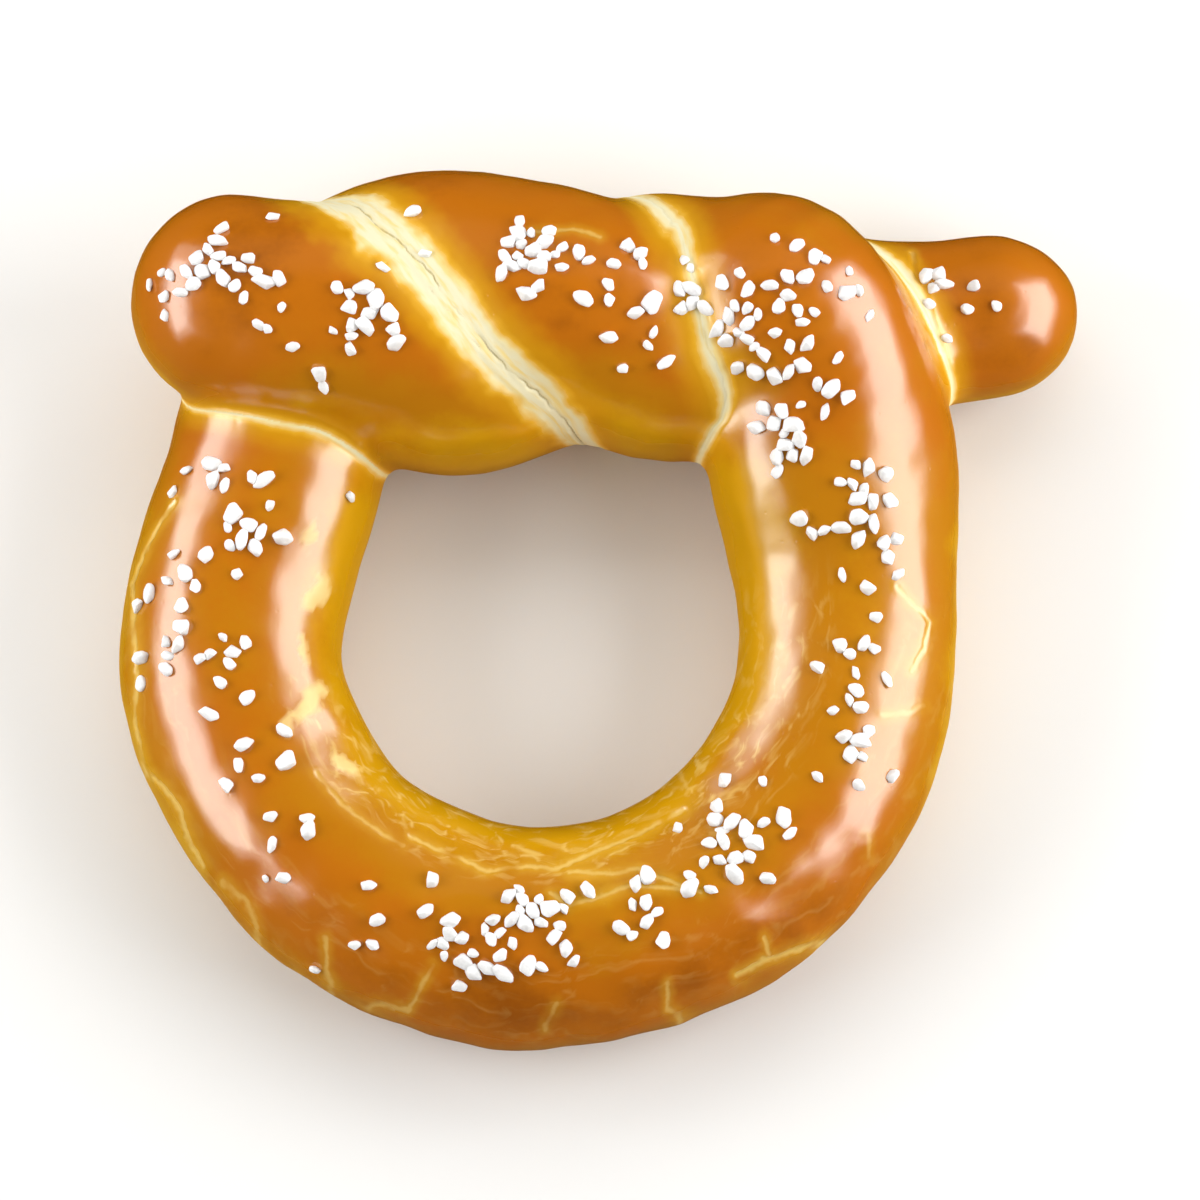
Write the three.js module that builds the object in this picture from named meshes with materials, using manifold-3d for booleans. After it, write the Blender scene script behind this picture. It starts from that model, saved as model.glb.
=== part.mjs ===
// A baked soft pretzel: one rope of dough bent into a ring, its two ends wound
// round each other in a thick twist across the top, with coarse salt on its crown.
// It lies on its flat baked underside. Millimetres, +Z up, +X along the twist,
// +Y from the foot of the ring to the twist.
import * as THREE from "three";
import { mergeVertices } from "three/addons/utils/BufferGeometryUtils.js";
import Module from "manifold-3d";

// The ring.
const RING_CENTRE = new THREE.Vector3(-9.2, -3.3, 0); // so that the origin is the outline's middle
const RING_RADIUS = 48; // from the middle of the hole to the middle of the rope
const ROPE_HEIGHT = 12.8; // middle of the rope above the tray
const ROPE_SIDE = 17.2; // half the rope's width, seen from above
const ROPE_RISE = 15.4; // half its height, before the tray flattens it
const RING_STATIONS = [8, -20, -45, -70, -90, -110, -135, -160, -180, -209]; // degrees from +X

// The twist. Its stations are a quarter turn apart.
const TWIST_Y = 49.3; // twist's axis, from the middle of the hole
const TWIST_HEIGHT = 19; // twist's axis above the tray
const TWIST_STATIONS = [-33, -17, 2.5, 20, 35];
// How far each strand is off its even path at the stations: towards the right tip, and away from
// the ring. The upper strand is the one on top at the left.
const UPPER_NUDGES = [[0, -2.3], [4.5, -2.6], [3.5, 0], [6, -4], [1, -0.5]];
const LOWER_NUDGES = [[0, -2.3], [0, 0.5], [2, 0], [0.5, -0.5], [0, -0.5]];
const STRAND_RISE = 7; // a strand's swing up and down from the axis
const STRAND_SWAY = 7.1; // its swing towards and away from the ring
const STRAND_THIN = 15.2; // half width towards the other strand, which presses it flat
const STRAND_BROAD = 17.9; // half width across that
const TWIST_FADE = 16; // length over which the ring's section turns into a strand's

// The two tips: where each one's path ends, how far it runs on, and its girth beside the rope's.
const LEFT_TIP = { end: [-48.5, 50.5, 24.5], length: 15, girth: 0.97 };
const RIGHT_TIP = { end: [70, 51, 12.3], length: 14, girth: 0.74 };
const RIGHT_TIP_ROOT = [54, 48.6, 12.6];
const TAPER_LENGTH = 42;

// The right shoulder, where the rope comes down off the twist, and its thickest place.
const SHOULDER_PATH = [[43, 38, 21.5], [45.6, 23, 16.2]];
const SHOULDER = { place: new THREE.Vector3(42, 28, 17), share: 0.12, length: 26 };

// The neck at the left, where the rope goes in under the left tip.
const NECK = [-38.5, 37, 12];

// Low swells that leave the hand-rolled rope a little uneven.
const SWELLS = [
  { share: 0.012, length: 9, lobes: 2 },
  { share: 0.01, length: 5.3, lobes: -3 },
];

// Steps and sides of the rope's surface.
const STEP = 4.6;
const SIDES = 24;
const TIP_RINGS = 5;

// Pinches of salt, each [x, y, grains], from the middle of the hole.
const PINCHES_ON_TWIST = [
  [-47, 53, 18], [-54, 50, 7], [-39, 41, 5], [-28, 42, 15], [-17, 58, 3], [1, 57, 10], [-2, 50, 11],
  [11, 52, 7], [14, 41, 6], [22, 47, 8], [33, 45, 20], [43, 50, 13], [40, 36, 13], [64, 52, 9],
];
const PINCHES_ON_RING = [
  [37, 27, 12], [48, 16, 17], [51, 6, 6], [47, -10, 10], [48, -21, 9], [32, -33, 13], [28, -40, 9],
  [17, -47, 10], [-1, -48, 18], [-8, -51, 15], [-16, -46, 6], [-29, -48, 5], [-41, -37, 6],
  [-46, -21, 8], [-50, -5, 8], [-57, -10, 6], [-56, 4, 8], [-44, 12, 10], [-50, 21, 8], [-26, 19, 4],
];
const PINCH_SPREAD = 8.5;
const GRAIN_SIZE = 2;
const GRAIN_SIZE_RANGE = 0.3; // share of the size that a grain may be larger or smaller
const GRAIN_STRETCH = [1.3, 0.95, 0.78]; // length, width and thickness of a crystal
const GRAIN_CHIPPING = 0.22; // how far a corner may be out, as a share of the size
const GRAIN_SINK = 0.3; // share of its thickness that sits in the crust
const STEEPEST = 0.4; // least rise of a crust's normal where a grain stays put
const GRAINS_FUSED = 170; // the largest ones; finer ones are too small to matter to the form
const SALT_SEED = 2025;

const wasm = await Module();
wasm.setup();
const UP = new THREE.Vector3(0, 0, 1);

// Repeatable draws from 0 to 1.
function seededDraws(seed) {
  let state = seed;
  return () => {
    state = (state * 16807) % 2147483647;
    return state / 2147483647;
  };
}

// Rises from 0 to 1 without a kink at either end.
function ease(t) {
  const x = THREE.MathUtils.clamp(t, 0, 1);
  return x * x * (3 - 2 * x);
}

function toSolid(geometry) {
  const bare = geometry.clone();
  bare.deleteAttribute("normal");
  bare.deleteAttribute("uv");
  const merged = mergeVertices(bare, 1e-4);
  return new wasm.Manifold(
    new wasm.Mesh({
      numProp: 3,
      vertProperties: merged.attributes.position.array,
      triVerts: new Uint32Array(merged.index.array),
    }),
  );
}

function toGeometry(solid) {
  const { vertProperties, triVerts } = solid.getMesh();
  const geometry = new THREE.BufferGeometry();
  geometry.setAttribute("position", new THREE.BufferAttribute(vertProperties, 3));
  geometry.setIndex(new THREE.BufferAttribute(triVerts, 1));
  return geometry;
}

// The rope's middle on the ring's circle, at an angle in degrees from +X.
function onRing(degrees) {
  const angle = THREE.MathUtils.degToRad(degrees);
  return new THREE.Vector3(RING_RADIUS * Math.cos(angle), RING_RADIUS * Math.sin(angle), ROPE_HEIGHT);
}

// A strand's middle at every station. Side 1 starts above the other strand, side -1 below it.
function onTwist(side, nudges) {
  return TWIST_STATIONS.map((station, number) => {
    const turn = (number * Math.PI) / 2;
    const x = station + nudges[number][0];
    const y = TWIST_Y - side * STRAND_SWAY * Math.sin(turn) + nudges[number][1];
    return new THREE.Vector3(x, y, TWIST_HEIGHT + side * STRAND_RISE * Math.cos(turn));
  });
}

// The middle of the whole rope: from the left tip through the twist on to the right side of
// the ring, round its foot, up the left side and back through the twist to the right tip.
function ropeMiddle() {
  const place = (xyz) => new THREE.Vector3(...xyz);
  const points = [
    place(LEFT_TIP.end),
    ...onTwist(1, UPPER_NUDGES),
    ...SHOULDER_PATH.map(place),
    ...RING_STATIONS.map(onRing),
    place(NECK),
    ...onTwist(-1, LOWER_NUDGES),
    place(RIGHT_TIP_ROOT),
    place(RIGHT_TIP.end),
  ];
  return new THREE.CatmullRomCurve3(points, false, "centripetal");
}

// How far a point of the rope belongs to the twist, from 0 on the ring to 1.
function twistShare(point) {
  const left = TWIST_STATIONS[0] - point.x;
  const right = point.x - TWIST_STATIONS.at(-1);
  const below = 2 * (TWIST_Y - STRAND_SWAY - point.y);
  return 1 - ease(Math.max(left, right, below, 0) / TWIST_FADE);
}

// The rope's outline across itself, as the three terms of a quadratic form that is 1 on it.
// In the twist the outline is thin towards the other strand and broad across that.
function outlineAcross(middle, side, rise) {
  const outward = new THREE.Vector3(0, middle.y - TWIST_Y, middle.z - TWIST_HEIGHT);
  const [c, s] = new THREE.Vector2(outward.dot(side), outward.dot(rise)).normalize();
  const thin = 1 / STRAND_THIN ** 2;
  const broad = 1 / STRAND_BROAD ** 2;
  const strand = [thin * c * c + broad * s * s, (thin - broad) * c * s, thin * s * s + broad * c * c];
  const ring = [1 / ROPE_SIDE ** 2, 0, 1 / ROPE_RISE ** 2];
  const share = twistShare(middle);
  return ring.map((term, i) => term * (1 - share) + strand[i] * share);
}

// The rope's girth at a place, as a share of the usual one. Both ends taper to their tips.
function girthAt(middle, fromLeft, fromRight) {
  const left = 1 - (1 - LEFT_TIP.girth) * ease(1 - fromLeft / TAPER_LENGTH);
  const right = 1 - (1 - RIGHT_TIP.girth) * ease(1 - fromRight / TAPER_LENGTH);
  const shoulder = 1 + SHOULDER.share * ease(1 - middle.distanceTo(SHOULDER.place) / SHOULDER.length);
  return left * right * shoulder;
}

// Where the rope's rings of points stand: along it, and past its end where a tip rounds off.
function stops(length) {
  const steps = Math.round(length / STEP);
  const even = Array.from({ length: steps + 1 }, (_, i) => ({ along: i / steps, past: 0, shrink: 1 }));
  const tip = (along, reach) => {
    const angles = Array.from({ length: TIP_RINGS - 1 }, (_, i) => (((i + 1) / TIP_RINGS) * Math.PI) / 2);
    return angles.map((angle) => ({ along, past: reach * Math.sin(angle), shrink: Math.cos(angle) }));
  };
  return [...tip(0, -LEFT_TIP.length).reverse(), ...even, ...tip(1, RIGHT_TIP.length)];
}

// One ring of points round the rope.
function ringOfPoints(curve, length, { along, past, shrink }) {
  const tangent = curve.getTangentAt(along);
  const middle = curve.getPointAt(along).addScaledVector(tangent, past);
  const side = new THREE.Vector3().crossVectors(tangent, UP).normalize();
  const rise = new THREE.Vector3().crossVectors(side, tangent);
  const [a, b, c] = outlineAcross(middle, side, rise);
  const girth = shrink * girthAt(middle, along * length, (1 - along) * length);
  const points = Array.from({ length: SIDES }, (_, k) => {
    const angle = (k / SIDES) * 2 * Math.PI;
    const [x, y] = [Math.cos(angle), Math.sin(angle)];
    const swell = SWELLS.reduce(
      (sum, w) => sum + w.share * Math.sin((along * length) / w.length + w.lobes * angle), 1,
    );
    const reach = (girth * swell) / Math.sqrt(a * x * x + 2 * b * x * y + c * y * y);
    return middle.clone().addScaledVector(side, reach * x).addScaledVector(rise, reach * y);
  });
  return { middle, points };
}

// Joins rings of points into a tube that runs from one closing point to another.
function tube(rings, start, end) {
  const positions = [...rings.flatMap(({ points }) => points), start, end].flatMap((p) => [...p]);
  const index = [];
  const first = rings.length * SIDES;
  for (let k = 0; k < SIDES; k++) {
    const next = (k + 1) % SIDES;
    for (let row = 0; row < first - SIDES; row += SIDES) {
      index.push(row + k, row + SIDES + k, row + next);
      index.push(row + next, row + SIDES + k, row + SIDES + next);
    }
    index.push(first, k, next);
    index.push(first - SIDES + k, first + 1, first - SIDES + next);
  }
  const geometry = new THREE.BufferGeometry();
  geometry.setAttribute("position", new THREE.Float32BufferAttribute(positions, 3));
  geometry.setIndex(index);
  return geometry;
}

// The dough. The rope crosses itself in the twist, so its halves are tubes of their own that
// meet at the foot of the ring and are joined there and in the twist.
function doughSolid() {
  const curve = ropeMiddle();
  const length = curve.getLength();
  const rings = stops(length).map((stop) => ringOfPoints(curve, length, stop));
  const foot = rings.reduce((lowest, ring, i) => (ring.middle.y < rings[lowest].middle.y ? i : lowest), 0);
  const leftTip = curve.getPointAt(0).addScaledVector(curve.getTangentAt(0), -LEFT_TIP.length);
  const rightTip = curve.getPointAt(1).addScaledVector(curve.getTangentAt(1), RIGHT_TIP.length);
  const upper = toSolid(tube(rings.slice(0, foot + 1), leftTip, rings[foot].middle));
  const lower = toSolid(tube(rings.slice(foot), rings[foot].middle, rightTip));
  return upper.add(lower).subtract(trayCut());
}

// What the tray keeps flat: everything below its surface.
function trayCut() {
  const reach = 300;
  const slab = new THREE.BoxGeometry(reach, reach, reach);
  slab.translate(0, 0, -reach / 2);
  return toSolid(slab);
}

// Where every grain falls, seen from above, and its size. The order of the draws is fixed.
function saltFall() {
  const draw = seededDraws(SALT_SEED);
  const grains = [];
  for (const [x, y, count] of [...PINCHES_ON_TWIST, ...PINCHES_ON_RING]) {
    for (let i = 0; i < count; i++) {
      grains.push({
        x: x + PINCH_SPREAD * (draw() + draw() - 1),
        y: y + PINCH_SPREAD * (draw() + draw() - 1),
        size: GRAIN_SIZE * (1 + GRAIN_SIZE_RANGE * (2 * draw() - 1)),
      });
    }
  }
  return grains.sort((a, b) => b.size - a.size);
}

// A crystal of salt: a block with its corners knocked about.
function crystal(size, draw) {
  const block = new THREE.BoxGeometry(...GRAIN_STRETCH.map((stretch) => stretch * size));
  block.deleteAttribute("normal");
  block.deleteAttribute("uv");
  const geometry = mergeVertices(block);
  const corners = geometry.attributes.position.array;
  for (let i = 0; i < corners.length; i++) corners[i] += size * GRAIN_CHIPPING * (2 * draw() - 1);
  return geometry;
}

// Grains lie where they land on the crust, each turned its own way and sunk in a little.
function saltOn(dough) {
  const crust = new THREE.Mesh(toGeometry(dough));
  const draw = seededDraws(SALT_SEED + 1);
  const solids = [];
  for (const { x, y, size } of saltFall()) {
    const above = new THREE.Vector3(x, y, 100);
    const [hit] = new THREE.Raycaster(above, UP.clone().negate()).intersectObject(crust);
    if (!hit || hit.face.normal.z < STEEPEST) continue;
    const lift = size * GRAIN_STRETCH[2] * (0.5 - GRAIN_SINK);
    const geometry = crystal(size, draw).rotateZ(2 * Math.PI * draw());
    geometry.applyQuaternion(new THREE.Quaternion().setFromUnitVectors(UP, hit.face.normal));
    geometry.translate(...hit.point.addScaledVector(hit.face.normal, lift));
    solids.push(toSolid(geometry));
    if (solids.length === GRAINS_FUSED) break;
  }
  return solids;
}

// The outer surface of the one large body. A hollow sealed between grains is filled by this,
// and a loose scrap is dropped.
function largestBody(solid) {
  const bodies = solid.decompose();
  return bodies.reduce((largest, body) => (body.volume() > largest.volume() ? body : largest));
}

function pretzelSolid() {
  const dough = doughSolid();
  return largestBody(saltOn(dough).reduce((whole, grain) => whole.add(grain), dough));
}

const crustMaterial = new THREE.MeshStandardMaterial({ color: 0xb8650f, roughness: 0.35, metalness: 0 });

const solid = pretzelSolid();
const pretzel = new THREE.Mesh(toGeometry(solid), crustMaterial);
pretzel.name = "pretzel";
pretzel.position.copy(RING_CENTRE);

const part = new THREE.Group();
part.add(pretzel);

export default part;
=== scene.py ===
# %% [markdown]
# # A baked soft pretzel
#
# The plain model gives the pretzel's true form: one rope of dough, bent into a ring,
# its two ends wound round each other in a thick twist. This lesson bakes it. It rolls
# a fine rope, lays it along the same path, lets the strands grow into each other,
# tears pale folds and cracks into the crust, and sprinkles coarse salt on top.
# First the plain model is loaded. It stays where it is, and everything is fitted to it.

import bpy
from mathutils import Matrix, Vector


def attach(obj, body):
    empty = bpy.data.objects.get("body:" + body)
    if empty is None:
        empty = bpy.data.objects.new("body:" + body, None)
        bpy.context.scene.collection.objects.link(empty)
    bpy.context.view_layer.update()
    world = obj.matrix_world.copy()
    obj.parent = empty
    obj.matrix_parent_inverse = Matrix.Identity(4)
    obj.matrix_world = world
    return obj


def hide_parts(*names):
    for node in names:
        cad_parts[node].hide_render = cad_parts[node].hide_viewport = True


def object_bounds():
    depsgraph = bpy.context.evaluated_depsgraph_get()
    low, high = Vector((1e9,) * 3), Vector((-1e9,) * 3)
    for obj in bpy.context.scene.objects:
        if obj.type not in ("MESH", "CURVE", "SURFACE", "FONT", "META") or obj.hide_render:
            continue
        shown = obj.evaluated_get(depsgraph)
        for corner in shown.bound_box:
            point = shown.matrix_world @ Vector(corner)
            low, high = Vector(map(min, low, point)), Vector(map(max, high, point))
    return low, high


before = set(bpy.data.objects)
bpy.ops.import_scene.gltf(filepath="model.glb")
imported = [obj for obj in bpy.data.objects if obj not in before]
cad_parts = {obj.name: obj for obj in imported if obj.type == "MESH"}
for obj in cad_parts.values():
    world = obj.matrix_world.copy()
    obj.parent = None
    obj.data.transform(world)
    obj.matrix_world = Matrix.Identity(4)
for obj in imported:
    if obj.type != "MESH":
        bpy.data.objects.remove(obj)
cad_low, cad_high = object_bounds()
print("plain model, mm:", [round(1000 * side, 1) for side in cad_high - cad_low])

# %% [markdown]
# A few helpers do what a hand does in the window: pick one piece and nothing else,
# apply a modifier, and read or move all the points of a piece at once. The path of
# the dough is worked out in millimetres from the middle of the ring's hole, so the
# last two helpers also turn those into metres in the model's own frame.

# %% Helpers for working by hand
import math

import bpy
import numpy as np
from mathutils import Vector, noise
from mathutils.bvhtree import BVHTree

MM = 0.001
RING_CENTRE = np.array([-9.2, -3.3, 0.0])  # middle of the hole in the model's frame


def pick_only(piece):
    """Deselects everything, then selects one piece and makes it the active one."""
    bpy.ops.object.select_all(action="DESELECT")
    piece.select_set(True)
    bpy.context.view_layer.objects.active = piece


def work_with(piece, kind, **settings):
    """Puts a modifier on a piece, sets it and applies it."""
    pick_only(piece)
    modifier = piece.modifiers.new(kind.title(), kind)
    for name, value in settings.items():
        setattr(modifier, name, value)
    bpy.ops.object.modifier_apply(modifier=modifier.name)


def read_points(piece):
    """Where a piece's points are, in millimetres from the middle of the hole."""
    flat = np.empty(3 * len(piece.data.vertices))
    piece.data.vertices.foreach_get("co", flat)
    return flat.reshape(-1, 3) / MM - RING_CENTRE


def move_points(piece, points):
    """Puts a piece's points at places in millimetres from the middle of the hole."""
    piece.data.vertices.foreach_set("co", ((points + RING_CENTRE) * MM).ravel())
    piece.data.update()


def ease(t):
    """Rises from 0 to 1 without a kink at either end."""
    t = np.clip(t, 0, 1)
    return t * t * (3 - 2 * t)


# %% [markdown]
# The rope's middle runs from the left tip through the twist, down the right side of
# the ring, round its foot, up the left side and back through the twist to the right
# tip. It could be drawn as a curve with a bevel, but a bevel keeps one round outline,
# and these strands press each other flat. So the path is a smooth line through a few
# stations, and the outline across it is a rule of its own.

# %% The rope's path
ROPE_HEIGHT = 12.8
RING_RADIUS = 48
RING_STATIONS = [8, -20, -45, -70, -90, -110, -135, -160, -180, -209]
TWIST_Y, TWIST_HEIGHT = 49.3, 19
TWIST_STATIONS = [-33, -17, 2.5, 20, 35]
UPPER_NUDGES = [(0, -2.3), (4.5, -2.6), (3.5, 0), (6, -4), (1, -0.5)]
LOWER_NUDGES = [(0, -2.3), (0, 0.5), (2, 0), (0.5, -0.5), (0, -0.5)]
STRAND_RISE, STRAND_SWAY = 7, 7.1
LEFT_TIP = {"end": (-48.5, 50.5, 24.5), "length": 15, "girth": 0.97}
RIGHT_TIP = {"end": (70, 51, 12.3), "length": 14, "girth": 0.74}
RIGHT_TIP_ROOT = (54, 48.6, 12.6)
SHOULDER_PATH = [(43, 38, 21.5), (45.6, 23, 16.2)]
NECK = (-38.5, 37, 12)


def on_ring(degrees):
    angle = math.radians(degrees)
    return (RING_RADIUS * math.cos(angle), RING_RADIUS * math.sin(angle), ROPE_HEIGHT)


def on_twist(side, nudges):
    """A strand's middle at the stations of the twist. Side 1 starts on top."""
    places = []
    for number, (station, (nudge_x, nudge_y)) in enumerate(zip(TWIST_STATIONS, nudges)):
        turn = number * math.pi / 2
        y = TWIST_Y - side * STRAND_SWAY * math.sin(turn) + nudge_y
        z = TWIST_HEIGHT + side * STRAND_RISE * math.cos(turn)
        places.append((station + nudge_x, y, z))
    return places


def smooth_line(stations, per_span=40):
    """A line of many points that runs evenly through every station."""
    p = np.array(stations, float)
    p = np.vstack([2 * p[0] - p[1], p, 2 * p[-1] - p[-2]])
    gap = np.linalg.norm(np.diff(p, axis=0), axis=1) ** 0.5
    t = np.linspace(0, 1, per_span, endpoint=False)[:, None]
    line = []
    for i in range(1, len(p) - 2):
        before, here, after = gap[i - 1 : i + 2]
        back, step, ahead = p[i] - p[i - 1], p[i + 1] - p[i], p[i + 2] - p[i + 1]
        a = back / before - (p[i + 1] - p[i - 1]) / (before + here) + step / here
        b = step / here - (p[i + 2] - p[i]) / (here + after) + ahead / after
        a, b = a * here, b * here
        line.append(p[i] + a * t + (3 * step - 2 * a - b) * t**2 + (a + b - 2 * step) * t**3)
    return np.vstack([*line, p[-2]])


rope_line = smooth_line(
    [LEFT_TIP["end"], *on_twist(1, UPPER_NUDGES), *SHOULDER_PATH]
    + [on_ring(degrees) for degrees in RING_STATIONS]
    + [NECK, *on_twist(-1, LOWER_NUDGES), RIGHT_TIP_ROOT, RIGHT_TIP["end"]]
)
rope_steps = np.linalg.norm(np.diff(rope_line, axis=0), axis=1)
rope_reach = np.concatenate([[0], np.cumsum(rope_steps)])
print("the rope's path is", round(rope_reach[-1]), "mm long")

# %% [markdown]
# Across itself the rope is an oval. On the ring it is a little wider than high. In
# the twist it is thin towards the other strand, which presses on it, and broad across
# that. Each oval is kept as the three terms of a quadratic form that is 1 on its
# outline, because such terms can be mixed, and so the ring's oval turns gradually
# into a strand's. Both ends taper, and low swells keep the rope hand-made.

# %% The rope's outline
ROPE_SIDE, ROPE_RISE = 17.2, 15.4
STRAND_THIN, STRAND_BROAD = 15.2, 17.9
TWIST_FADE = 16
TAPER_LENGTH = 42
SHOULDER = {"place": (42, 28, 17), "share": 0.12, "length": 26}
SWELLS = [(0.012, 9, 2), (0.01, 5.3, -3)]  # share of the girth, length, lobes round the rope
STEP = 2.4
TIP_RINGS = 9


def ring_stops():
    """Where the rope's rings stand: along it in mm, past its ends, and how far they shrink."""
    even = np.linspace(0, rope_reach[-1], round(rope_reach[-1] / STEP) + 1)
    angle = np.arange(1, TIP_RINGS) / TIP_RINGS * math.pi / 2
    left, right = LEFT_TIP["length"] * np.sin(angle), RIGHT_TIP["length"] * np.sin(angle)
    along = np.concatenate([0 * left, even, 0 * right + rope_reach[-1]])
    past = np.concatenate([-left[::-1], 0 * even, right])
    shrink = np.concatenate([np.cos(angle)[::-1], 0 * even + 1, np.cos(angle)])
    return along, past, shrink


def row_dot(a, b):
    return (a * b).sum(axis=1)


def unit_rows(rows):
    return rows / np.maximum(np.linalg.norm(rows, axis=1, keepdims=True), 1e-9)


def rope_rings():
    """Every ring's middle, its two directions across the rope, its oval and its girth."""
    along, past, shrink = ring_stops()
    slope = np.gradient(rope_line, rope_reach, axis=0)
    tangent = unit_rows(np.column_stack([np.interp(along, rope_reach, s) for s in slope.T]))
    middle = np.column_stack([np.interp(along, rope_reach, c) for c in rope_line.T])
    middle += past[:, None] * tangent
    side = unit_rows(np.cross(tangent, (0, 0, 1)))
    rise = np.cross(side, tangent)

    outward = middle - (0, TWIST_Y, TWIST_HEIGHT)
    outward[:, 0] = 0
    c, s = unit_rows(np.column_stack([row_dot(outward, side), row_dot(outward, rise)])).T
    thin, broad = 1 / STRAND_THIN**2, 1 / STRAND_BROAD**2
    strand = np.array(
        [thin * c * c + broad * s * s, (thin - broad) * c * s, thin * s * s + broad * c * c]
    )
    ring = np.array([1 / ROPE_SIDE**2, 0, 1 / ROPE_RISE**2])[:, None]
    beyond = np.maximum(TWIST_STATIONS[0] - middle[:, 0], middle[:, 0] - TWIST_STATIONS[-1])
    beyond = np.maximum(beyond, 2 * (TWIST_Y - STRAND_SWAY - middle[:, 1]))
    share = 1 - ease(beyond / TWIST_FADE)
    oval = ring * (1 - share) + strand * share

    left = 1 - (1 - LEFT_TIP["girth"]) * ease(1 - along / TAPER_LENGTH)
    right = 1 - (1 - RIGHT_TIP["girth"]) * ease(1 - (rope_reach[-1] - along) / TAPER_LENGTH)
    near = 1 - np.linalg.norm(middle - SHOULDER["place"], axis=1) / SHOULDER["length"]
    girth = shrink * left * right * (1 + SHOULDER["share"] * ease(near))
    frames = {"along": along, "middle": middle, "side": side, "rise": rise}
    return {**frames, "oval": oval.T, "girth": girth}


rings = rope_rings()
foot = int(rings["middle"][:, 1].argmin())
print(len(rings["along"]), "rings, and the foot of the ring is at number", foot)

# %% [markdown]
# A baker rolls the rope out straight first. So does this cell: a disc is extruded
# ring by ring into a straight rope, and only then are its rings laid along the path.
# The rope crosses itself in the twist, and a mesh can't say which of two walls in one
# place is the real one, so the rope is laid as two halves that overlap at the foot.
# What would sink into the baking tray is pressed flat on it.

# %% Roll the rope and lay it
SIDES = 48
FOOT_OVERLAP = 3  # rings


def roll_straight(name, length):
    """A straight rope of radius 1 with its rings 1 apart."""
    bpy.ops.object.select_all(action="DESELECT")
    bpy.ops.mesh.primitive_circle_add(vertices=SIDES, radius=1, fill_type="NGON")
    rope = bpy.context.object
    rope.name = name
    bpy.ops.object.mode_set(mode="EDIT")
    bpy.ops.mesh.select_all(action="SELECT")
    for _ in range(length - 1):
        bpy.ops.mesh.extrude_region_move(TRANSFORM_OT_translate={"value": (0, 0, 1)})
    bpy.ops.object.mode_set(mode="OBJECT")
    return rope


def lay_along_path(rope, first):
    """Moves a straight rope's rings to their places on the path, from ring number "first" on."""
    straight = (read_points(rope) + RING_CENTRE) * MM
    ring = first + np.rint(straight[:, 2]).astype(int)
    angle = np.arctan2(straight[:, 1], straight[:, 0])
    x, y = np.cos(angle), np.sin(angle)
    along = rings["along"][ring]
    swell = 1 + sum(size * np.sin(along / length + lobes * angle) for size, length, lobes in SWELLS)
    a, b, c = rings["oval"][ring].T
    reach = rings["girth"][ring] * swell / np.sqrt(a * x * x + 2 * b * x * y + c * y * y)
    sideways, upwards = rings["side"][ring], rings["rise"][ring]
    place = rings["middle"][ring] + (reach * x)[:, None] * sideways + (reach * y)[:, None] * upwards
    place[:, 2] = np.maximum(place[:, 2], 0)
    move_points(rope, place)


def turn_outwards(piece):
    """Makes all the faces of a closed piece point out of it."""
    pick_only(piece)
    bpy.ops.object.mode_set(mode="EDIT")
    bpy.ops.mesh.select_all(action="SELECT")
    bpy.ops.mesh.normals_make_consistent(inside=False)
    bpy.ops.object.mode_set(mode="OBJECT")


upper_half = roll_straight("upper_half", foot + FOOT_OVERLAP)
lay_along_path(upper_half, 0)
lower_half = roll_straight("lower_half", len(rings["along"]) - foot + FOOT_OVERLAP)
lay_along_path(lower_half, foot - FOOT_OVERLAP)
for half in (upper_half, lower_half):
    turn_outwards(half)
    print(half.name, len(half.data.polygons), "faces")

# %% [markdown]
# In the oven the strands swell against each other and grow together, so that a fold
# is a rounded valley and not a slit. A boolean would leave a sharp line there. A voxel
# remesh melts both halves into one skin instead, and the Smooth modifier then rounds
# it. Before the halves are joined, each one's surface is kept as a search tree: how far
# a point of the crust is from the other strand tells how deep in a fold it lies.

# %% Let the strands grow together
SKIN_STEP = 1.0  # size of the crust's faces in mm
FOLD_REACH = 7.0  # how far from a fold its rounding goes
FOLD_LIMIT_Y = 20.0  # the folds are all on the twist's side of this line


def surface_tree(piece):
    faces = [list(face.vertices) for face in piece.data.polygons]
    return BVHTree.FromPolygons([Vector(p) for p in read_points(piece)], faces)


def fold_distance(points):
    """How far each point is past a fold: above 0 on the lower strand, below 0 on the upper."""
    gap = np.full(len(points), 99.0)
    for i in np.flatnonzero(points[:, 1] > FOLD_LIMIT_Y):
        place = Vector(points[i])
        gap[i] = upper_tree.find_nearest(place)[3] - lower_tree.find_nearest(place)[3]
    return gap


def smooth_where(piece, weights, times):
    """Runs the Smooth modifier with a strength that goes from point to point."""
    group = piece.vertex_groups.new(name="softened")
    for i in np.flatnonzero(weights > 0.01):
        group.add([int(i)], float(weights[i]), "REPLACE")
    work_with(piece, "SMOOTH", factor=0.5, iterations=times, vertex_group=group.name)
    piece.vertex_groups.clear()


upper_tree, lower_tree = surface_tree(upper_half), surface_tree(lower_half)
pick_only(upper_half)
lower_half.select_set(True)
bpy.ops.object.join()
crust = upper_half
crust.name = "pretzel_crust"
work_with(crust, "REMESH", mode="VOXEL", voxel_size=SKIN_STEP * MM)
work_with(crust, "SMOOTH", factor=0.5, iterations=10)
fold = fold_distance(read_points(crust))
smooth_where(crust, ease(1 - np.abs(fold) / FOLD_REACH), 50)
print("one skin of", len(crust.data.polygons), "faces")

# %% [markdown]
# In the folds of the twist the skin is pulled apart as the dough swells, and bare pale
# dough shows. Each fold is a line seen from above, with the width of its bare dough on
# either strand at the line's two ends, and how far that band is shifted towards the
# lower strand. The first fold is the widest, and only there a crack stands fully open.

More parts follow.
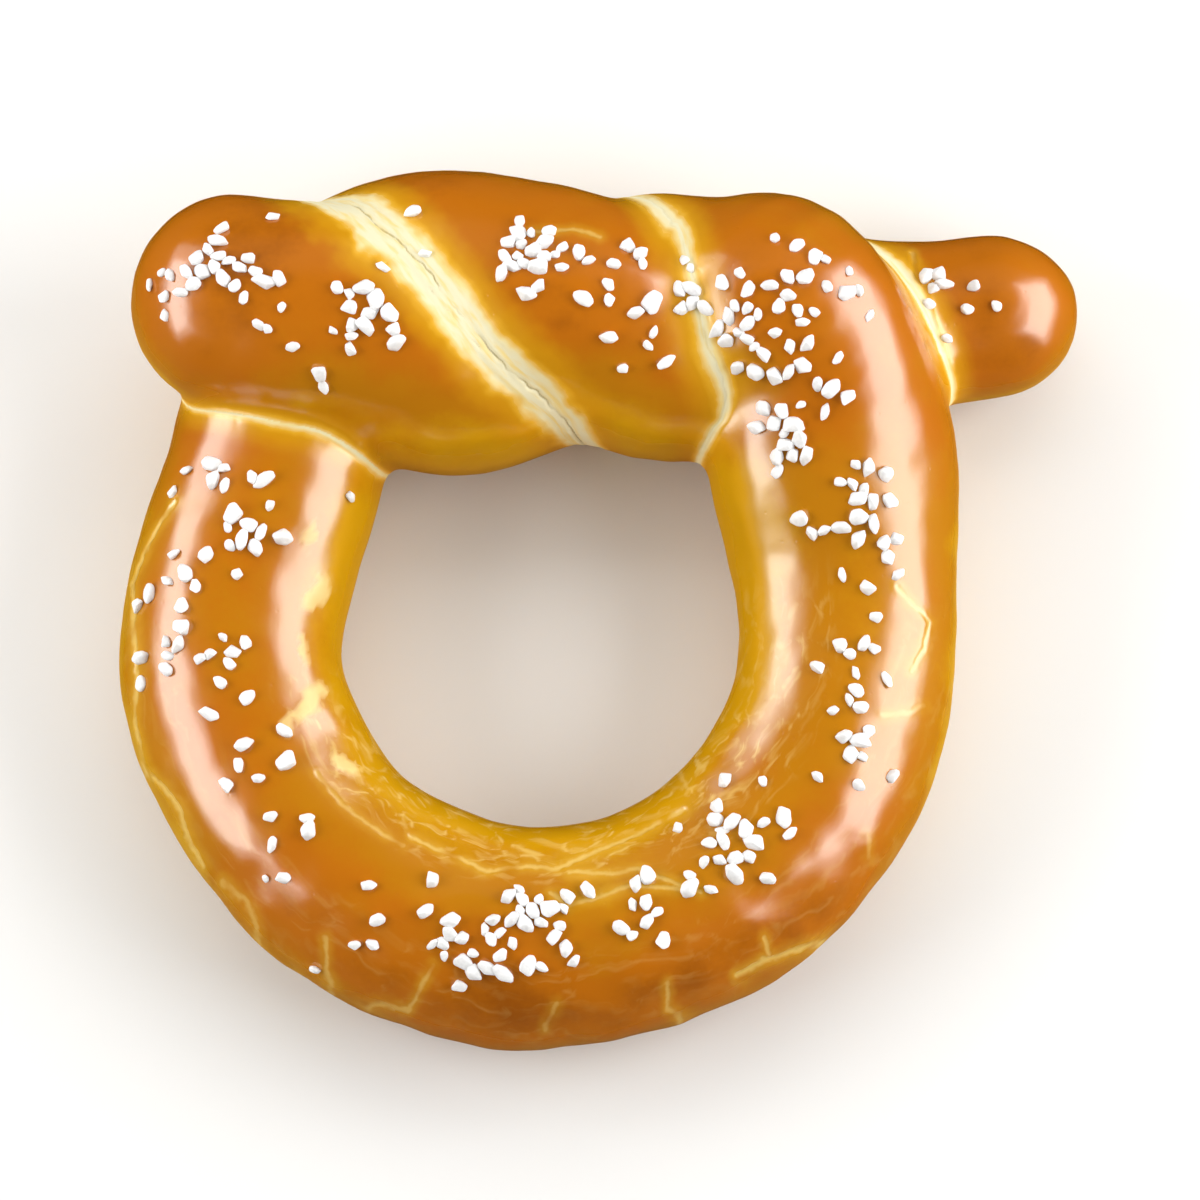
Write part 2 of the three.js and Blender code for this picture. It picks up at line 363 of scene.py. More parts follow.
# %% The folds of the twist
FOLDS = [  # the line, what changes from its start to its end in mm, and how open the crack is
    {"line": [(-31, 66), (-19, 57), (-8, 43), (5, 28)],
     "upper": (5.0, 2.3), "lower": (2.4, 2.6), "shift": (0, 0.6), "crack": 1},
    {"line": [(12, 67), (21, 47), (26, 27)],
     "upper": (1.7, 1.4), "lower": (1.3, 1.3), "shift": (-2.0, 0.8), "crack": 0.25},
    {"line": [(44, 60), (55, 50), (63, 32)],
     "upper": (0.5, 0.5), "lower": (3.6, 1.3), "shift": (0.5, 0.2), "crack": 0},
    {"line": [(-62, 38), (-45, 31), (-27, 21)],
     "upper": (0.5, 0.5), "lower": (0.7, 1.5), "shift": (0.3, 1.0), "crack": 0},
]
CRACK_WANDER = [(0.5, 6.0), (0.22, 1.3)]  # how far a crack strays, and over what length


def noise_at(points, size, shift=0.0):
    """Smooth noise from about -1 to 1 with features of a size in mm."""
    return np.array([noise.noise(Vector(p)) for p in points / size + shift])


def line_length(line):
    return np.linalg.norm(np.diff(np.array(line, float), axis=0), axis=1).sum()


def nearest_on_line(points, line):
    """How far points are from a line seen from above, and how far along it they lie."""
    nearest, along, start = np.full(len(points), 1e9), np.zeros(len(points)), 0.0
    for a, b in zip(np.array(line[:-1], float), np.array(line[1:], float)):
        step = b - a
        length = np.linalg.norm(step)
        t = np.clip((points[:, :2] - a) @ step / length**2, 0, 1)
        away = np.linalg.norm(points[:, :2] - a - t[:, None] * step, axis=1)
        along = np.where(away < nearest, start + t * length, along)
        nearest = np.minimum(away, nearest)
        start += length
    return nearest, along


print(len(FOLDS), "folds,", [round(line_length(entry["line"])) for entry in FOLDS], "mm long")

# %% [markdown]
# Every point of the crust is given to the fold whose line is nearest. From there it
# learns five things: how far inside the bare dough it lies, with a ragged edge, where
# it lies across and along the fold, how far it is from the crack that wanders down the
# middle, and how open that crack is. The crack has one short branch halfway down.

# %% Where a point lies in its fold
FAR = 12.0  # mm, beyond which a fold has no say
CRACK_SWAY = 1.4  # how much more the crack in a fold strays than one on the ring
BRANCH_OFFSET, BRANCH_MIDDLE, BRANCH_HALF = 1.1, 0.55, 0.1  # mm, then shares of the fold's length
FOLD_SPACING = 90  # mm between two folds in the threads' pattern, so that each has its own


def crack_in_fold(entry, number, place, share, off_middle):
    """How far points are from a fold's crack or its branch, and how open the crack is there."""
    beside = np.column_stack([place, 0 * place + 50 * number, 0 * place])
    stray = sum(reach * noise_at(beside, size) for reach, size in CRACK_WANDER)
    centre = off_middle - CRACK_SWAY * stray
    branch = np.abs(centre + BRANCH_OFFSET + 0.8 * noise_at(beside, 3.0, 6.6))
    branch += 3 * ease((np.abs(share - BRANCH_MIDDLE) - BRANCH_HALF) / 0.1)
    opened = entry["crack"] * ease(0.7 + 1.6 * noise_at(beside, 5.0, 2.2) + 0.5 * share)
    return np.minimum(np.abs(centre), branch), opened


def dress_folds(points, fold):
    """The five things that every point learns from its nearest fold."""
    count = len(points)
    nearest = np.full(count, 1e9)
    inside, across, along = np.full(count, -FAR), np.full(count, FAR), np.zeros(count)
    gap, opened = np.full(count, FAR), np.zeros(count)
    ragged = 1 + 0.25 * noise_at(points, 5.0, 3.1) + 0.12 * noise_at(points, 1.6, 9.4)
    for number, entry in enumerate(FOLDS):
        away, place = nearest_on_line(points, entry["line"])
        share = place / line_length(entry["line"])
        upper, lower, shift = (
            entry[key][0] + (entry[key][1] - entry[key][0]) * share for key in ("upper", "lower", "shift")
        )
        side = fold - shift
        edge = np.where(side < 0, upper, lower) * ragged - np.abs(side)
        off_crack, open_here = crack_in_fold(entry, number, place, share, side - (lower - upper) / 3)
        here = away < nearest
        nearest = np.where(here, away, nearest)
        inside, across = np.where(here, edge, inside), np.where(here, side, across)
        along = np.where(here, place + FOLD_SPACING * number, along)
        gap, opened = np.where(here, off_crack, gap), np.where(here, open_here, opened)
    opened = opened * ease(inside + 0.3)
    return np.maximum(inside, -FAR), np.clip(across, -FAR, FAR), along, gap, opened


# %% [markdown]
# The ring cracks where it bends hardest: along the hole, over the foot and down the
# outer flanks. There the skin only splits, so each crack is a thin wandering line with
# a little less brown beside it. Each is given as a few points seen from above.

# %% Where the skin splits
CRACKS = [  # how strong, how wide in mm, and the line
    (0.9, 0.5, [(-56.3, 18.4), (-60.3, 12.7), (-63.4, 6.6), (-62.5, -2.2), (-62.1, -9.5), (-62.5, -15.8)]),
    (0.9, 0.5, [(-62.5, -15.8), (-61, -22.5), (-57.8, -26), (-55.6, -29.1), (-53.5, -34.7), (-52, -37.7)]),
    (0.6, 0.5, [(-34, -25.1), (-30.1, -30.3), (-26.8, -32.9), (-21.1, -36.6)]),
    (0.9, 0.6, [(-20, -34.9), (-14.9, -36.9), (-8.2, -40.2), (-2.2, -39.5), (2.8, -40.1), (7.9, -37.7)]),
    (0.8, 0.6, [(7.9, -37.7), (13.9, -34.5), (18.2, -32.3), (21.8, -30.5)]),
    (0.7, 0.5, [(1.8, -44.1), (4.9, -46), (7.9, -45.1), (13.9, -43.2), (21.4, -43.3)]),
    (0.8, 0.5, [(4.3, -40.9), (12, -41), (15.3, -40.2), (18.8, -41.8), (24.6, -43.8)]),
    (0.5, 0.6, [(-48.8, -40.4), (-45.2, -43.4), (-43.7, -46.4), (-42.7, -50.2), (-43.7, -52.8)]),
    (0.5, 0.6, [(-43.7, -52.8), (-38, -54.5), (-32.9, -59.1)]),
    (0.6, 0.7, [(-32.9, -50.2), (-32.6, -54.4), (-31.5, -58)]),
    (0.6, 0.7, [(-30.1, -59.7), (-25, -59.3), (-20, -60.5), (-18.4, -57.8), (-16.4, -54.9)]),
    (0.4, 0.6, [(2.8, -60.1), (0.9, -63.7)]),
    (0.6, 0.6, [(19.3, -57.4), (19.6, -60.5), (22.1, -61.5), (26.5, -60.9), (29.3, -62)]),
    (0.9, 0.6, [(30.3, -55.3), (34.2, -52.9), (40.5, -50.1), (45.8, -48.2)]),
    (0.6, 0.5, [(34.2, -50.1), (35.1, -52)]),
    (0.6, 0.5, [(54.9, 4.2), (57.3, 1.5), (59.7, -0.7), (59.2, -4.8), (56.8, -8.5)]),
    (0.5, 0.5, [(52.4, -16.2), (56.3, -15.4), (58.8, -13.9)]),
    (0.4, 0.5, [(50.1, -34.2), (50.6, -37.1)]),
    (0.5, 0.5, [(21.1, -21.4), (22.5, -26.2)]),
    (1.0, 0.6, [(57.5, 59), (59.5, 51), (62, 42.5)]),
    (0.6, 0.5, [(-1, 57.5), (5, 58), (9, 56.5)]),
]
HALO_WIDTH = 2.6  # mm beside a crack where the brown fades
PATCHES = [  # pale torn places: middle, half length, half width, turn in degrees, strength
    (-34.3, 4.0, 3.4, 1.3, 55, 0.9),
    (-35.2, -13.5, 3.8, 1.4, 60, 1.0),
    (-30.0, -23.4, 2.8, 1.2, -35, 1.0),
    (-35.5, 12.5, 2.6, 0.8, 80, 0.7),
    (-36.4, -5.0, 2.4, 0.8, 100, 0.8),
    (-38.5, -17.5, 2.2, 0.8, 75, 0.8),
]


def split_skin(points, up):
    """How far each point is from the nearest crack, how strong and how wide that crack is,
    and how much the brown fades beside it."""
    strayed = points.copy()
    for axis, seed in ((0, 7.3), (1, 31.9)):
        strayed[:, axis] += sum(reach * noise_at(points, size, seed) for reach, size in CRACK_WANDER)
    gap, strong, wide = np.full(len(points), 1e9), np.zeros(len(points)), np.ones(len(points))
    halo = np.zeros(len(points))
    for strength, width, line in CRACKS:
        away, _ = nearest_on_line(strayed, line)
        here = away < gap
        gap, strong = np.where(here, away, gap), np.where(here, strength, strong)
        wide = np.where(here, width, wide)
        halo = np.maximum(halo, strength * np.exp(-((away / HALO_WIDTH) ** 2)))
    above = ease((up + 0.25) / 0.3)
    presence = ease(0.95 + 1.1 * noise_at(points, 3.5, 17.0))
    return np.minimum(gap, FAR), strong * above * presence, wide, halo * above


def patch_cover(points, up):
    """How much of a pale patch covers each point."""
    cover = np.zeros(len(points))
    stray = np.column_stack([noise_at(points, 1.5, 4.4), noise_at(points, 1.1, 8.8)])
    strayed = points[:, :2] + 0.8 * stray
    for x, y, length, width, turn, strength in PATCHES:
        a = math.radians(turn)
        along = (strayed - (x, y)) @ (math.cos(a), math.sin(a)) / length
        across = (strayed - (x, y)) @ (-math.sin(a), math.cos(a)) / width
        cover = np.maximum(cover, strength * ease((1.25 - np.hypot(along, across)) / 0.5))
    return cover * ease((up + 0.1) / 0.2)


crack_length = sum(line_length(line) for _, _, line in CRACKS)
print(len(CRACKS), "cracks,", round(crack_length), "mm in all, and", len(PATCHES), "pale patches")

# %% [markdown]
# Fine tears need fine faces, but only where they are. So the faces near a crack or in
# a fold are picked in code and cut into four, twice, as one would pick them by eye.

# %% Finer faces where the skin is torn
CRACK_ZONES = [2.2, 1.2]  # mm from a crack, for the first and the second cut
FOLD_ZONES = [-3.5, -0.8]  # the same past the edge of the bare dough


def normals_of(piece):
    flat = np.empty(3 * len(piece.data.vertices))
    piece.data.vertices.foreach_get("normal", flat)
    return flat.reshape(-1, 3)


def cut_faces(piece, chosen_points):
    """Cuts every face that has a chosen point into four, following the bulge of the skin."""
    mesh = piece.data
    corners = np.empty(len(mesh.loops), int)
    mesh.loops.foreach_get("vertex_index", corners)
    starts = np.empty(len(mesh.polygons), int)
    mesh.polygons.foreach_get("loop_start", starts)
    chosen_faces = np.maximum.reduceat(chosen_points[corners], starts)
    pick_only(piece)
    bpy.ops.object.mode_set(mode="EDIT")
    bpy.ops.mesh.select_mode(type="FACE")
    bpy.ops.mesh.select_all(action="DESELECT")
    bpy.ops.object.mode_set(mode="OBJECT")
    mesh.polygons.foreach_set("select", chosen_faces)
    bpy.ops.object.mode_set(mode="EDIT")
    bpy.ops.mesh.subdivide(number_cuts=1, smoothness=1.0, ngon=False)
    bpy.ops.object.mode_set(mode="OBJECT")


for crack_zone, fold_zone in zip(CRACK_ZONES, FOLD_ZONES):
    points, up = read_points(crust), normals_of(crust)[:, 2]
    near_crack = split_skin(points, up)[0]
    inside = dress_folds(points, fold_distance(points))[0]
    cut_faces(crust, (up > -0.3) & ((near_crack < crack_zone) | (inside > fold_zone)))
work_with(crust, "SMOOTH", factor=0.5, iterations=3)
triangles = sum(len(face.vertices) - 2 for face in crust.data.polygons)
print("the crust has", len(crust.data.polygons), "faces,", triangles, "triangles")

# %% [markdown]
# Now the skin gets its relief, worked out for every point and pushed in or out along
# its normal: shallow dimples everywhere, low lumps on the foot, torn threads along the
# bare dough of the folds, and sunken cracks with slightly raised lips. A thread is long
# along its fold and thin across it, so its noise is stretched the same way.

# %% Relief of the crust
DIMPLES = [(0.28, 12.0), (0.12, 4.5)]  # height and size in mm
FOOT_LUMPS = (0.4, 7.0)  # the same for the outer side of the foot, where the skin burst most
SPLIT_DEPTH, LIP_HEIGHT = 0.22, 0.10
FOLD_CRACK_DEPTH, FOLD_CRACK_WIDTH = 0.35, 0.22
THREAD_HEIGHT, THREAD_WIDTH, THREAD_LENGTH = 0.16, 0.9, 7.0
PATCH_HEIGHT = 0.12
FOOT_START, FOOT_FADE = 28, 15  # mm below the hole's middle where the lumps begin, and over what
FLAT_FADE = 3  # mm above the tray where the relief has its full height

points, normals = read_points(crust), normals_of(crust)
inside, across, along, fold_gap, fold_open = dress_folds(points, fold_distance(points))
crack_gap, crack_strength, crack_width, halo = split_skin(points, normals[:, 2])
split = crack_strength * np.exp(-((crack_gap / crack_width) ** 2))
patches = patch_cover(points, normals[:, 2])
threads = noise_at(np.column_stack([across / THREAD_WIDTH, along / THREAD_LENGTH, 0 * along]), 1.0)
on_foot = ease((-points[:, 1] - FOOT_START) / FOOT_FADE)
height = sum(reach * noise_at(points, size, 11.0) for reach, size in DIMPLES)
height += FOOT_LUMPS[0] * noise_at(points, FOOT_LUMPS[1], 41.0) * on_foot
height += LIP_HEIGHT * np.sqrt(split) - (SPLIT_DEPTH + LIP_HEIGHT) * split**2
height += THREAD_HEIGHT * threads * ease((inside + 0.5) / 1.5)
height -= FOLD_CRACK_DEPTH * fold_open * np.exp(-((fold_gap / FOLD_CRACK_WIDTH) ** 2))
height += PATCH_HEIGHT * patches
height *= ease(points[:, 2] / FLAT_FADE)
points += height[:, None] * normals
points[:, 2] = np.maximum(points[:, 2], 0)
move_points(crust, points)
crust.data.shade_smooth()
print("relief from", round(height.min(), 2), "to", round(height.max(), 2), "mm")

# %% [markdown]
# The oven browns most what faces up to it. What turns towards the hole is shaded by the
# rest of the loaf and stays golden, and so does the skin beside a crack, which was
# stretched late. The outer side of the foot is also made browner as painted shade, and
# the back of the shoulder less brown as painted light. How brown each point is, and every
# value behind the relief, is kept as an attribute of the mesh, so that the colours sit
# exactly where the relief is.

# %% How brown the crust is
TWIST_START, HOLE_HALF = 22.0, 22.0  # mm


def brownness(points, normals, halo):
    """About 1 on the crown of the twist, less on the ring, and 0 on what turns to the hole, with painted
    shade on the foot's outer side and painted light on the back of the shoulder.
    """
    x, y = points[:, 0], points[:, 1]
    hole_middle = np.column_stack([np.clip(x, -HOLE_HALF, HOLE_HALF) * ease((y - 15) / 30), 0 * y])
    to_hole = row_dot(unit_rows(hole_middle - points[:, :2]), normals[:, :2])
    up = ease((normals[:, 2] + 0.35) / 1.1)
    crown = 0.80 + 0.24 * ease((y - TWIST_START) / 14)
    brown = crown * up * (1 - 0.85 * ease((to_hole - 0.3) / 0.65))
    # painted shade: the outer side of the foot is made browner, as if it lay in shadow
    brown += 0.45 * ease((-to_hole - 0.2) / 0.6) * ease((-y - 30) / 20)
    right_leg = ease((x - 15) / 20) * ease((32 - np.abs(y)) / 20)
    foot_crown = ease((-y - 15) / 15) * ease((53 - np.hypot(x, y)) / 8)
    left_flank = 0.8 * ease((np.hypot(x, y) - 58) / 4) * ease((-x - 20) / 20) * ease((25 - y) / 15)
    # painted light: the back of the shoulder is made less brown, as if lit from behind
    lit_shoulder_back = 0.8 * ease((y - 50) / 10) * ease((x - 18) / 10) * ease((60 - x) / 10)
    brown -= 0.3 * np.maximum.reduce([right_leg, left_flank, 0.8 * foot_crown, lit_shoulder_back])
    brown += 0.24 * noise_at(points, 15.0, 21.0) + 0.10 * noise_at(points, 4.0, 5.5) - 0.15 * halo
    underside = 0.8 * ease((-normals[:, 2] - 0.5) / 0.4)
    return np.maximum(brown, underside)


def wisp_zone(points, normals):
    """Where the stretched skin shows fine pale streaks: mostly on the side of the hole."""
    x, y = points[:, 0], points[:, 1]
    radius = np.hypot(x, y)
    rim = ease((44 - radius) / 5) * ease((-y - 4) / 18)
    leg = 0.6 * ease((48 - radius) / 6) * ease((x - 10) / 20) * ease((12 - y) / 20)
    flank = 0.16 * ease((radius - 52) / 4) * ease((10 - y) / 20)
    return np.maximum(np.maximum(rim, leg), flank) * ease((normals[:, 2] + 0.1) / 0.3)


kept_values = {
    "brown": brownness(points, normals, halo),
    "wisps": wisp_zone(points, normals),
    "round": np.arctan2(points[:, 0], -points[:, 1]) * RING_RADIUS,
    "radius": np.hypot(points[:, 0], points[:, 1]),
    "patch": patches,
    "crack_gap": crack_gap,
    "crack_strength": crack_strength,
    "fold_inside": inside,
    "fold_across": across,
    "fold_along": along,
    "fold_gap": fold_gap,
    "fold_open": fold_open,
}
for name, values in kept_values.items():
    attribute = crust.data.attributes.new(name, "FLOAT", "POINT")
    attribute.data.foreach_set("value", values.astype(np.float32))
    print(f"{name}: {values.min():.2f} to {values.max():.2f}")

# %% [markdown]
# Pretzel salt is coarse and opaque: white lumps of about two millimetres with blunt
# corners. A few kinds of lump are modelled once, each from a ball of twelve corners that
# are knocked about, with its edges bevelled. A cook throws salt in pinches, so it lies
# in clumps. The draws are seeded and come in the order that the plain model uses, so the
# large lumps lie where the solid has them.

# %% Coarse salt
PINCHES = [  # middle of each pinch in mm, and its number of grains
    (-47, 53, 18), (-54, 50, 7), (-39, 41, 5), (-28, 42, 15), (-17, 58, 3), (1, 57, 10), (-2, 50, 11),
    (11, 52, 7), (14, 41, 6), (22, 47, 8), (33, 45, 20), (43, 50, 13), (40, 36, 13), (64, 52, 9),
    (37, 27, 12), (48, 16, 17), (51, 6, 6), (47, -10, 10), (48, -21, 9), (32, -33, 13), (28, -40, 9),
    (17, -47, 10), (-1, -48, 18), (-8, -51, 15), (-16, -46, 6), (-29, -48, 5), (-41, -37, 6),
    (-46, -21, 8), (-50, -5, 8), (-57, -10, 6), (-56, 4, 8), (-44, 12, 10), (-50, 21, 8), (-26, 19, 4),
]
PINCH_SPREAD = 8.5  # mm
GRAIN_SIZE, GRAIN_SIZE_RANGE = 2.0, 0.3  # mm, and how much it varies as a share
CORNER_KNOCK = 0.17  # mm on a lump 1 mm across
GRAIN_BEVEL = 0.09  # the same
SALT_SEED = 2025
KINDS = 9


def seeded_draws(seed):
    """Repeatable draws from 0 to 1."""
    while True:
        seed = seed * 16807 % 2147483647
        yield seed / 2147483647


def salt_fall():
    """Where every grain falls, and its size."""
    draw = seeded_draws(SALT_SEED)
    grains = []
    for x, y, count in PINCHES:
        for _ in range(count):
            grain_x = x + PINCH_SPREAD * (next(draw) + next(draw) - 1)
            grain_y = y + PINCH_SPREAD * (next(draw) + next(draw) - 1)
            size = GRAIN_SIZE * (1 + GRAIN_SIZE_RANGE * (2 * next(draw) - 1))
            grains.append((grain_x, grain_y, size))
    return sorted(grains, key=lambda grain: -grain[2])


def carve_grain(number, draw):
    """One kind of lump, about 1 mm across: a knocked-about ball of few corners with blunt edges."""
    bpy.ops.object.select_all(action="DESELECT")
    bpy.ops.mesh.primitive_ico_sphere_add(subdivisions=1, radius=0.5 * MM)
    grain = bpy.context.object
    grain.name = f"salt_kind_{number}"
    for corner in grain.data.vertices:
        corner.co *= 0.98 + 0.3 * next(draw)
        corner.co += MM * CORNER_KNOCK * Vector([2 * next(draw) - 1 for _ in range(3)])
    bpy.ops.object.mode_set(mode="EDIT")
    bpy.ops.mesh.select_all(action="SELECT")
    bpy.ops.mesh.convex_hull()
    bpy.ops.object.mode_set(mode="OBJECT")
    edges = {"limit_method": "ANGLE", "angle_limit": math.radians(12)}
    work_with(grain, "BEVEL", width=GRAIN_BEVEL * MM, segments=2, **edges)
    return grain


kind_draw = seeded_draws(SALT_SEED + 7)
kinds = [carve_grain(number, kind_draw) for number in range(KINDS)]
grains = salt_fall()
print(len(grains), "grains of", KINDS, "kinds,", len(kinds[0].data.polygons), "faces each")

# %% [markdown]
# Each grain is dropped from above onto the finished crust. It lies flat on the skin,
# turned its own way, and a third of it is baked in. Grains that would land inside one
# another are first nudged apart, as real grains are when they fall.

# %% Drop the salt
NUDGES = 40
CLOSEST = 0.98  # how near two grains may lie, as a share of their mean size
GRAIN_STRETCH = (1.3, 0.95, 0.78)
GRAIN_SINK = 0.3  # the share of a grain's height that is baked in
GRAIN_LEAN = 0.35
STEEPEST = 0.4  # a grain rolls off where the skin's normal points up less than this


def nudge_apart(grains):
    """Moves grains that overlap away from each other, a little at a time."""
    place = np.array([grain[:2] for grain in grains])
    size = np.array([grain[2] for grain in grains])
    least = CLOSEST * (size[:, None] + size) / 2
    for _ in range(NUDGES):
        apart = place[:, None] - place
        gap = np.linalg.norm(apart, axis=2) + np.eye(len(place)) * 99
        push = np.clip(least - gap, 0, None) / gap
        place += 0.5 * (apart * push[:, :, None]).sum(axis=1)
    return place, size


def drop_salt():
    """Copies a lump to every place where a grain comes to rest, and joins the copies."""
    crust_tree = surface_tree(crust)
    draw = seeded_draws(SALT_SEED + 1)
    copies = []
    for (x, y), size in zip(*nudge_apart(grains)):
        hit, normal, _, _ = crust_tree.ray_cast(Vector((x, y, 100)), Vector((0, 0, -1)))
        if hit is None or normal.z < STEEPEST:
            continue
        kind = kinds[int(next(draw) * KINDS)]
        copy = kind.copy()
        copy.data = kind.data.copy()
        bpy.context.collection.objects.link(copy)
        stretch = [size * share * (0.85 + 0.3 * next(draw)) for share in GRAIN_STRETCH]
        lift = size * GRAIN_STRETCH[2] * (0.5 - GRAIN_SINK)
        lean = Vector([GRAIN_LEAN * (2 * next(draw) - 1) for _ in range(3)])
        facing = (normal + lean).to_track_quat("Z", "Y").to_matrix().to_4x4()
        copy.matrix_world = facing
        copy.rotation_euler.rotate_axis("Z", 2 * math.pi * next(draw))
        copy.scale = stretch
        copy.location = (hit + normal * lift + Vector(RING_CENTRE)) * MM
        copies.append(copy)
    bpy.ops.object.select_all(action="DESELECT")
    for copy in copies:
        copy.select_set(True)
    bpy.context.view_layer.objects.active = copies[0]
    bpy.ops.object.join()
    salt = bpy.context.object
    salt.name = "pretzel_salt"
    bpy.ops.object.transform_apply(location=True, rotation=True, scale=True)
    for kind in kinds:
        bpy.data.objects.remove(kind)
    print(len(copies), "grains lie on the crust,", len(salt.data.polygons), "faces")
    return salt


salt = drop_salt()
pick_only(salt)
bpy.ops.object.shade_smooth_by_angle(angle=math.radians(40))

# %% [markdown]
# Shader maths reads best as sums. This small class wraps a socket of a node, so that
# a + b or 1 - mask adds the Math node that works it out, and one method adds any other
# node from its type, its settings and the values or links of its sockets.

# %% Shader sums


class Shade:
    """A socket of a material's nodes that can be added, multiplied and mixed."""

    def __init__(self, tree, socket):
        self.tree, self.socket = tree, socket

    def node(self, kind, settings=None, output=0, **sockets):
        """Adds a node and gives one of its outputs."""
        made = self.tree.nodes.new(kind)
        for name, value in (settings or {}).items():
            setattr(made, name, value)
        for name, value in sockets.items():
            place = int(name[1:]) if name[1:].isdigit() else name.replace("_", " ")
            if isinstance(value, Shade):
                self.tree.links.new(value.socket, made.inputs[place])
            else:
                made.inputs[place].default_value = value
        return Shade(self.tree, made.outputs[output])

    def sum(self, operation, first, second):
        return self.node("ShaderNodeMath", {"operation": operation}, _0=first, _1=second)

    def __add__(self, other):
        return self.sum("ADD", self, other)

    def __sub__(self, other):
        return self.sum("SUBTRACT", self, other)

    def __rsub__(self, other):
        return self.sum("SUBTRACT", other, self)

    def __mul__(self, other):
        return self.sum("MULTIPLY", self, other)

    __radd__, __rmul__ = __add__, __mul__

    def rise(self, start, end):
        """Goes from 0 to 1 as this value goes from start to end, without a kink."""
        settings = {"interpolation_type": "SMOOTHSTEP"}
        return self.node("ShaderNodeMapRange", settings, Value=self, From_Min=start, From_Max=end)

    def mix(self, low, high):
        """The colour low where this value is 0, and high where it is 1."""
        settings = {"data_type": "RGBA"}
        return self.node("ShaderNodeMix", settings, output=2, _0=self, _6=low, _7=high)


def soft_noise(place, scale, detail):
    """Noise at a place, about 0.5 on average."""
    return place.node("ShaderNodeTexNoise", Vector=place, Scale=scale, Detail=detail)


def new_finish(name):
    """A material with its shader, and a start for the sums."""
    material = bpy.data.materials.new(name)
    material.use_nodes = True
    tree = material.node_tree
    shader = tree.nodes["Principled BSDF"]
    return material, shader, Shade(tree, None)


def feed(shader, start, **sockets):
    """Sets the shader's own sockets to numbers, colours or sums."""
    for name, value in sockets.items():
        socket = shader.inputs[name.replace("_", " ")]
        if isinstance(value, Shade):
            start.tree.links.new(value.socket, socket)
        else:
            socket.default_value = value


# %% [markdown]
# The crust goes from gold through amber to brown with the attribute worked out above.
# A real crust is never evenly brown, so a broad and a fine noise are added to it first.
# The sums start from the place on the piece, from how far the skin turns up, and from
# the attributes that were kept on the mesh.

# %% The browned skin
GOLD = (0.60, 0.305, 0.001, 1)
AMBER = (0.49, 0.182, 0.001, 1)
BROWN = (0.49, 0.138, 0.001, 1)
DEEP_BROWN = (0.32, 0.082, 0.001, 1)

baked_crust, crust_shader, start = new_finish("baked_crust")
place = start.node("ShaderNodeTexCoord", output=3)
up = start.node("ShaderNodeSeparateXYZ", output=2, _0=start.node("ShaderNodeNewGeometry", output=1))


def kept(name):
    """One of the attributes kept on the mesh."""
    return start.node("ShaderNodeAttribute", {"attribute_name": name}, output=2)


def place_at(x, y):
    """A place on a flat pattern, from two sums."""
    return start.node("ShaderNodeCombineXYZ", _0=x, _1=y)


cloud, speck = soft_noise(place, 160, 2), soft_noise(place, 1100, 1)
brown = kept("brown") + (cloud - 0.5) * 0.25 + (speck - 0.5) * 0.12
skin = brown.rise(0.02, 0.5).mix(GOLD, AMBER)
skin = brown.rise(0.5, 1.0).mix(skin, BROWN)
skin = brown.rise(1.0, 1.4).mix(skin, DEEP_BROWN)
print("browned skin:", len(baked_crust.node_tree.nodes), "nodes")

# %% [markdown]
# Where the skin was stretched it shows pale streaks and a fine web that run round the
# ring. Both patterns are laid out in the ring's own directions, round it and out from
# it, and bent by a noise. Then come the cracks, each a pale line in a golden band.

# %% Streaks and cracks
CRACK_GOLD = (0.64, 0.34, 0.02, 1)
CRACK_PALE = (0.78, 0.53, 0.14, 1)

bend = soft_noise(place, 130, 2) * 3.5
streak = soft_noise(place_at(kept("round") * 0.22 + bend, kept("radius") * 0.7 + bend), 1.0, 3)
web_place = place_at(kept("round") * 0.08 + bend * 0.4, kept("radius") * 0.3 + bend * 0.4)
web = start.node(
    "ShaderNodeTexVoronoi", {"feature": "DISTANCE_TO_EDGE"}, Vector=web_place, Scale=1.0
)
wisp = (1 - web.rise(0.0, 0.08)) * streak.rise(0.44, 0.58) * kept("wisps")
skin = (streak.rise(0.48, 0.72) * kept("wisps") * 0.42).mix(skin, CRACK_PALE)
skin = (wisp * 0.55).mix(skin, CRACK_PALE)

fray = soft_noise(place, 900, 2)
off_crack = kept("crack_gap") + (fray - 0.5) * 0.5
golden_band = (1 - off_crack.rise(0.1, 1.9)) * kept("crack_strength")
pale_line = (1 - off_crack.rise(0.05, 0.55)) * kept("crack_strength")
skin = (golden_band * 0.75).mix(skin, CRACK_GOLD)
skin = (pale_line * 0.8).mix(skin, CRACK_PALE)
print("with streaks and cracks:", len(baked_crust.node_tree.nodes), "nodes")

# %% [markdown]
# Towards a fold the crust turns golden, then yellow, and inside it is pale dough with
# cream threads along it. The edge is frayed by the same threads. The crack down its
# middle gets a painted shade, only a little darker than the dough, because light gets into it.

# %% The bare dough
HALO_GOLD = (0.62, 0.28, 0.002, 1)
HALO_YELLOW = (0.78, 0.41, 0.02, 1)
PALE = (0.80, 0.62, 0.23, 1)
CREAM = (0.77, 0.71, 0.47, 1)
CRACK_PAINTED_SHADE = (0.44, 0.34, 0.11, 1)

